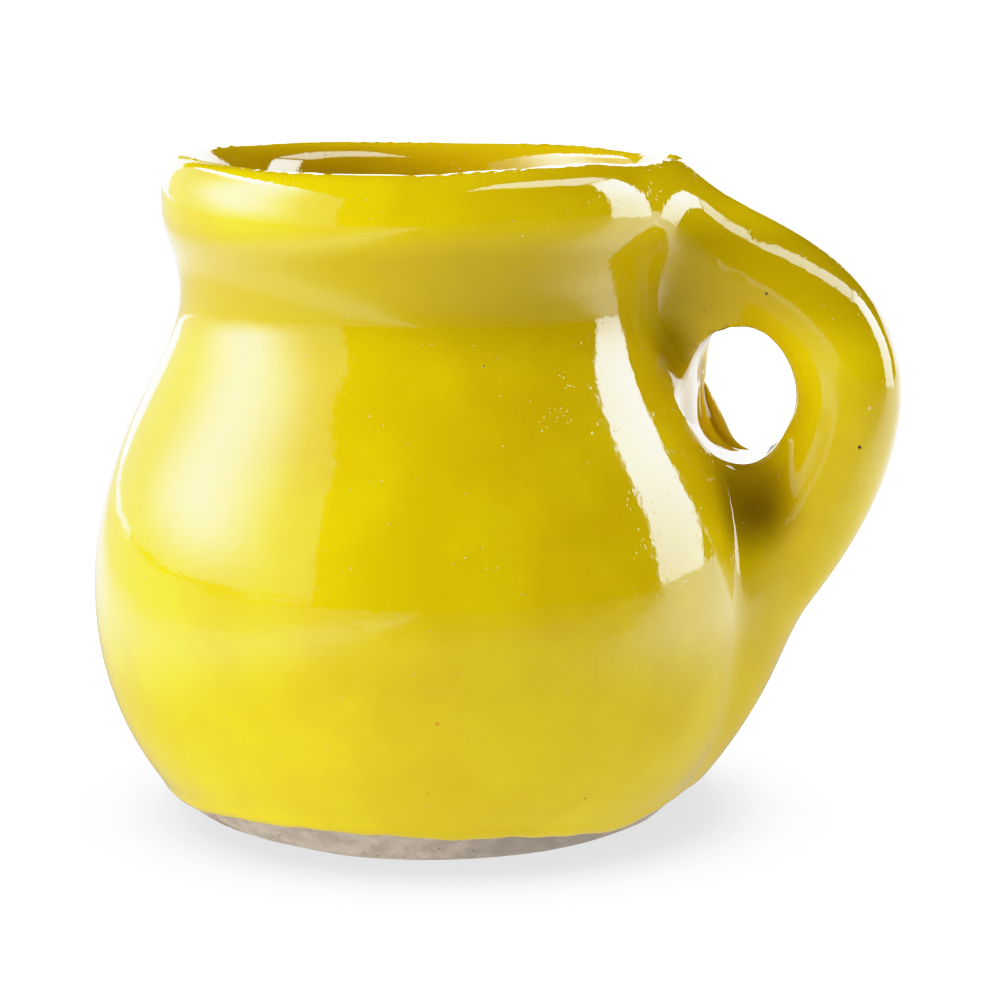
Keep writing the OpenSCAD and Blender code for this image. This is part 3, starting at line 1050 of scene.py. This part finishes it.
LEMON = (0.80, 0.585, 0.002)
LEMON_DEEP = (0.70, 0.49, 0.0015)
# The colour of the painted shade round the neck
LEMON_NECK_SHADE = (0.46, 0.32, 0.001)
AMBER = (0.30, 0.155, 0.002)
UMBER = (0.17, 0.085, 0.002)
OLIVE = (0.66, 0.42, 0.002)
CREAM = (0.83, 0.72, 0.30)
RUST = (0.16, 0.055, 0.01)
ORANGE = (0.75, 0.30, 0.003)
BLACK_SPECK = (0.05, 0.02, 0.006)
BROWN_SPECK = (0.10, 0.03, 0.006)
PALE_PIT = (0.85, 0.80, 0.62)
YELLOW_PIT = (0.80, 0.66, 0.20)
SAND = (0.46, 0.385, 0.30)
SAND_DEEP = (0.34, 0.28, 0.215)
SAND_GRAIN = (0.30, 0.24, 0.18)
# Colours of the painted shade on the bare foot
FOOT_SHADE_GREY = (0.22, 0.18, 0.15)
FOOT_SHADE_BROWN = (0.20, 0.12, 0.06)
GRAVEL = (0.16, 0.11, 0.08)

# Painted shade round the neck, a darker band of glaze: it sets in between the first two heights
# and ends between the last two
NECK_SHADE_BAND = (36.5, 42, 45.5, 48.5)

# Where glaze pools below the eye and beside it, darkened further as painted shade in these hollows,
# and painted shade on the bare foot: place, radius, soft edge, share and colour
POOLS_AND_PAINTED_SHADE = (
    ((26.5, -4.2, 28.0), 0.2, 4.2, 0.7, AMBER),
    ((26.9, -4.6, 25.4), 0.2, 4.4, 0.9, UMBER),
    ((20.2, -4.4, 37.6), 0.6, 2.8, 0.6, AMBER),
)
# Painted shade on the bare foot: darker at the right front and on the worn bevel at the left front
FOOT_PAINTED_SHADE = (
    ((13.5, -13.5, 0.8), 2.5, 10.0, 0.6, FOOT_SHADE_GREY),
    ((-13.0, -13.5, 0.2), 0.8, 2.6, 0.7, FOOT_SHADE_BROWN),
)

# Single marks that kiln and clay left in the glaze: an orange dot, pits and specks
MARKS = (
    ((6.5, -25.2, 12.6), 0.12, ORANGE),
    ((34.5, -3.6, 30.5), 0.11, BLACK_SPECK),
    ((27.3, -4.1, 42.1), 0.08, BROWN_SPECK),
    ((35.2, -3.5, 33.5), 0.07, PALE_PIT),
    ((21.5, -14.3, 24.2), 0.08, YELLOW_PIT),
)


def glaze_finish():
    b = Bench("yellow_glaze")
    colour = b.blend(b.reshape(b.noise(0.12, 3.0), 0.35, 0.65), LEMON, LEMON_DEEP)
    colour = b.tinted(colour, b.reshape(b.noise(1.6, 3.0, 0.6), 0.3, 0.7), 0.22, LEMON_DEEP)
    colour = b.tinted(colour, b.reshape(b.noise(7.0, 3.0, 0.7), 0.35, 0.65), 0.16, LEMON_DEEP)
    colour = b.tinted(colour, b.point("inside"), 0.8, OLIVE)
    height = b.put("ShaderNodeSeparateXYZ", Vector=b.place).outputs["Z"]
    # Painted shade: the glaze is darkened in a band round the neck
    painted_neck_shade = b.times(b.reshape(height, *NECK_SHADE_BAND[:2]), b.reshape(height, *NECK_SHADE_BAND[2:], 1.0, 0.0))
    colour = b.tinted(colour, painted_neck_shade, 0.7, LEMON_NECK_SHADE)
    # Glaze pools with painted shade below and beside the eye
    for spot, radius, soft, most, tint in POOLS_AND_PAINTED_SHADE:
        colour = b.tinted(colour, b.near(spot, radius, soft), most, tint)
    colour = b.tinted(colour, b.point("pooled"), 0.75, AMBER)
    colour = b.tinted(colour, b.point("thin"), 0.7, CREAM)
    colour = b.tinted(colour, b.point("hem"), 0.18, AMBER)
    colour = b.blend(b.point("torn"), colour, RUST)
    pit = b.times(b.grains(1.1, 0.06, 0.10), b.reshape(b.noise(0.35, 1.0), 0.56, 0.6))
    colour = b.tinted(colour, pit, 0.35, CREAM)
    grain = b.times(b.grains(0.36, 0.025, 0.05), b.reshape(b.noise(0.9, 0.0), 0.62, 0.66))
    colour = b.tinted(colour, grain, 0.75, RUST)
    for spot, radius, tint in MARKS:
        colour = b.blend(b.near(spot, radius, radius * 0.8), colour, tint)
    b.link(colour, b.shader.inputs["Base Color"])
    peel = b.relief(b.noise(0.85, 2.0, 0.55), 0.012)
    skin = b.relief(b.noise(3.2, 2.0, 0.5), 0.0045, peel)
    bubble = b.times(b.grains(2.4, 0.1, 0.3), b.reshape(b.noise(0.7, 1.0), 0.5, 0.62))
    skin = b.relief(bubble, 0.008, skin)
    skin = b.relief(b.plus(pit, grain), -0.03, skin)
    b.link(skin, b.shader.inputs["Normal"])
    b.gloss(0.05, 1.52)
    return b.material


def clay_finish():
    b = Bench("bare_clay")
    colour = b.blend(b.reshape(b.noise(0.6, 4.0, 0.6), 0.35, 0.65), SAND, SAND_DEEP)
    colour = b.tinted(colour, b.reshape(b.noise(5.0, 3.0, 0.7), 0.45, 0.7), 0.5, SAND_GRAIN)
    # Painted shade on the bare foot
    for spot, radius, soft, most, tint in FOOT_PAINTED_SHADE:
        colour = b.tinted(colour, b.near(spot, radius, soft), most, tint)
    grain = b.times(b.grains(1.3, 0.10, 0.18), b.reshape(b.noise(1.1, 0.0), 0.5, 0.6))
    colour = b.tinted(colour, grain, 0.8, GRAVEL)
    b.link(colour, b.shader.inputs["Base Color"])
    coarse = b.relief(b.noise(2.6, 4.0, 0.65), 0.12)
    fine = b.relief(b.noise(9.0, 3.0, 0.7), 0.04, coarse)
    b.link(b.relief(grain, -0.05, fine), b.shader.inputs["Normal"])
    b.gloss(0.85, 1.45)
    return b.material


glaze = glaze_finish()
clay = clay_finish()
body.data.materials.clear()
body.data.materials.append(glaze)
pot.data.materials.append(clay)

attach(body, "root")
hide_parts("outer_glaze", "inner_glaze")
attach(pot, "root")
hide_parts("clay_body")
for part, node, slot in ((coil, "handle", "bare_clay"), (upper_slip, "upper_slip_joint", "clay_slip"),
                         (lower_slip, "lower_slip_joint", "clay_slip")):
    part.data.materials.append(clay)
    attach(part, "root")
    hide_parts(node)


# The studio. Its own axes run as the camera looks, and the mug's handle is
# turned a little towards the camera.
VIEW_TURN = math.radians(12)
TO_MUG = Matrix.Rotation(VIEW_TURN, 4, "Z")


def in_studio(obj, place, euler=(0, 0, 0)):
    turn = Matrix.Identity(4)
    for angle, axis in zip(euler, "XYZ"):
        turn = Matrix.Rotation(angle, 4, axis) @ turn
    obj.matrix_world = TO_MUG @ Matrix.Translation(Vector(place)) @ turn


class Glow(Bench):
    """An even or uneven glow; places on it are in metres on the panel itself."""

    def __init__(self, name, colour=(1, 1, 1), strength=1.0):
        super().__init__(name)
        self.tree.nodes.remove(self.shader)
        self.emit = self.put("ShaderNodeEmission", Color=(*colour, 1), Strength=strength)
        self.link(self.emit.outputs[0], self.tree.nodes["Material Output"].inputs["Surface"])
        place = self.tree.nodes.new("ShaderNodeTexCoord")
        split = self.put("ShaderNodeSeparateXYZ", Vector=place.outputs["Object"])
        self.x, self.y = split.outputs["X"], split.outputs["Y"]

    def hump(self, value, middle, spread):
        off = self.maths("DIVIDE", self.maths("SUBTRACT", value, middle), spread)
        return self.maths("EXPONENT", self.times(self.times(off, off), -1.0))

    def shine(self, strength):
        self.link(strength, self.emit.inputs["Strength"])
        return self.material


def seen_by(obj, *kinds):
    for kind in ("camera", "diffuse", "glossy", "transmission", "volume_scatter", "shadow"):
        setattr(obj, "visible_" + kind, kind in kinds)


def panel(name, width, height, place, euler, material, *kinds):
    """A flat light of the studio that only the named kinds of rays see."""
    bm = bmesh.new()
    bmesh.ops.create_grid(bm, x_segments=1, y_segments=1, size=0.5)
    bmesh.ops.scale(bm, vec=(width, height, 1), verts=bm.verts)
    obj = new_object(name, bm)
    obj.data.materials.append(material)
    in_studio(obj, place, euler)
    seen_by(obj, *kinds)
    return obj


RIGHT_ANGLE = math.pi / 2
FACING_RIGHT = (RIGHT_ANGLE, 0, RIGHT_ANGLE)
FACING_LEFT = (RIGHT_ANGLE, 0, -RIGHT_ANGLE)
FACING_FRONT = (RIGHT_ANGLE, 0, 0)
LYING = (0, 0, 0)
CENTRE = (0, 0, 0)
WARM_WHITE = (1.0, 0.99, 0.96)
WARMER_WHITE = (1.0, 0.985, 0.95)

# The large softbox on the left is brightest in a tall band at its middle and
# at its top behind the mug.
left = Glow("left_glow", WARMER_WHITE)
band = left.hump(left.x, -0.07, 0.185)
foot_shade = left.reshape(left.y, -0.30, -0.15)
far_top = left.times(left.reshape(left.y, 0.14, 0.2), left.reshape(left.x, -0.1, 0.08))
tall_band = left.times(left.times(band, foot_shade), 10.0)
left.shine(left.plus(tall_band, left.plus(left.times(far_top, 13.0), 1.2)))
panel("left_softbox", 1.3, 0.56, (-0.45, 0.04, 0.305), FACING_RIGHT, left.material, "glossy")
panel("left_fill", 0.66, 0.56, (-0.45, -0.28, 0.305), FACING_RIGHT,
      Glow("left_fill_glow", strength=5.4).material, "diffuse")

# The strip light on the right, which bends over towards the front above the mug
OVER_HEIGHT = 0.7
OVER_CORNERS = ((0.14, -0.54), (0.86, -0.20), (0.30, -0.20), (0.86, 0.22))
right = Glow("right_glow", WARM_WHITE)
right.shine(right.plus(right.times(right.hump(right.y, 0.07, 0.16), 9.5), 7.0))
panel("right_strip", 0.18, 0.33, (0.42, 0.036, 0.18), FACING_LEFT, right.material, "glossy")
over = panel("over_strip", 1.0, 1.0, (0, 0, OVER_HEIGHT), LYING, Glow("over_glow", WARM_WHITE, 9.0).material,
             "glossy")
for v, corner in zip(over.data.vertices, OVER_CORNERS):
    v.co.xy = corner
panel("right_fill", 0.19, 0.62, (0.42, 0.055, 0.325), FACING_LEFT,
      Glow("right_fill_glow", strength=3.2).material, "diffuse")

panel("backdrop", 2.6, 0.4, (0.0, 0.85, 0.18), FACING_FRONT, Glow("backdrop_glow", strength=4.0).material,
      "glossy")
panel("backdrop_fill", 2.2, 1.0, (0.0, 0.85, 0.48), FACING_FRONT,
      Glow("backdrop_fill_glow", strength=0.8).material, "diffuse")
panel("top_fill", 0.6, 0.8, (0.0, 0.1, 0.7), LYING, Glow("top_glow", strength=1.5).material, "diffuse")

# The white table, which is dim in front and bright beside the mug and behind it
table = Glow("table_sheen")
in_front = table.reshape(table.y, -0.26, -0.10, -0.3, 0.0)
to_left = table.maths("SUBTRACT", table.reshape(table.x, -0.085, -0.03, 1.4, 0.0),
                      table.reshape(table.x, -0.17, -0.09, 0.9, 0.0))
to_right = table.times(table.reshape(table.x, 0.03, 0.11, 0.0, 2.2), table.reshape(table.y, -0.085, -0.01))
table.shine(table.plus(table.plus(in_front, 0.42), table.plus(to_left, to_right)))
panel("table_sheen", 3.0, 3.0, CENTRE, LYING, table.material, "glossy")
panel("table_bounce", 3.0, 3.0, CENTRE, LYING, Glow("bounce_glow", strength=1.3).material, "diffuse")

# The table as the camera sees it, with a soft shadow round the foot, and the room
SHADOW_MIDDLE = (2.0, -1.0, 0.0)
SHADOW_REACH = (17.0, 38.0)
floor_bm = bmesh.new()
bmesh.ops.create_circle(floor_bm, cap_ends=True, segments=96, radius=1.6)
floor = new_object("white_table", floor_bm)
in_studio(floor, CENTRE)
seen_by(floor, "camera")
top = Glow("white_table")
gap = top.put("ShaderNodeVectorMath", Vector=top.place)
gap.operation = "DISTANCE"
gap.inputs[1].default_value = SHADOW_MIDDLE
shade = top.reshape(gap.outputs["Value"], *SHADOW_REACH)
shade = top.times(top.maths("POWER", shade, 1.6), 3.0)
top.shine(top.plus(shade, 0.85))
floor.data.materials.append(top.material)

dome_bm = bmesh.new()
bmesh.ops.create_icosphere(dome_bm, subdivisions=4, radius=4.0)
dome = new_object("white_room", dome_bm)
dome.data.materials.append(Glow("room_glow", strength=4.0).material)
seen_by(dome, "camera")

world = bpy.data.worlds.new("dark_room")
bpy.context.scene.world = world
world.use_nodes = True
world.node_tree.nodes["Background"].inputs["Strength"].default_value = 0.0

# The photograph's bright tones roll off softly towards white.
BRIGHTEST = 4.0
ROLL_OFF = ((0.5, 0.5), (0.65, 0.63), (0.8, 0.73), (1.0, 0.85), (1.25, 0.92), (1.6, 0.965), (2.2, 0.99),
            (3.0, 1.0))
view = bpy.context.scene.view_settings
view.view_transform = "Standard"
view.look = "None"
view.use_curve_mapping = True
view.curve_mapping.white_level = (BRIGHTEST, BRIGHTEST, BRIGHTEST)
curve = view.curve_mapping.curves[3]
for scene_light, shown in ROLL_OFF:
    curve.points.new(scene_light / BRIGHTEST, shown)
for point in curve.points:
    point.handle_type = "VECTOR"
view.curve_mapping.update()

# The camera stands in front of the mug and looks a little down on it.
CAMERA_PLACE = (0.00567, -0.266, 0.0712)
CAMERA_DIP = 9.95
FILM_WIDTH = 36.0
LENS_TO_FILM = 3.4
lens = bpy.data.cameras.new("camera")
lens.sensor_width = FILM_WIDTH
lens.lens = LENS_TO_FILM * FILM_WIDTH
lens.clip_start = 0.01
lens.clip_end = 20
camera = bpy.data.objects.new("camera", lens)
bpy.context.scene.collection.objects.link(camera)
in_studio(camera, CAMERA_PLACE, (math.radians(90 - CAMERA_DIP), 0, 0))
bpy.context.scene.camera = camera
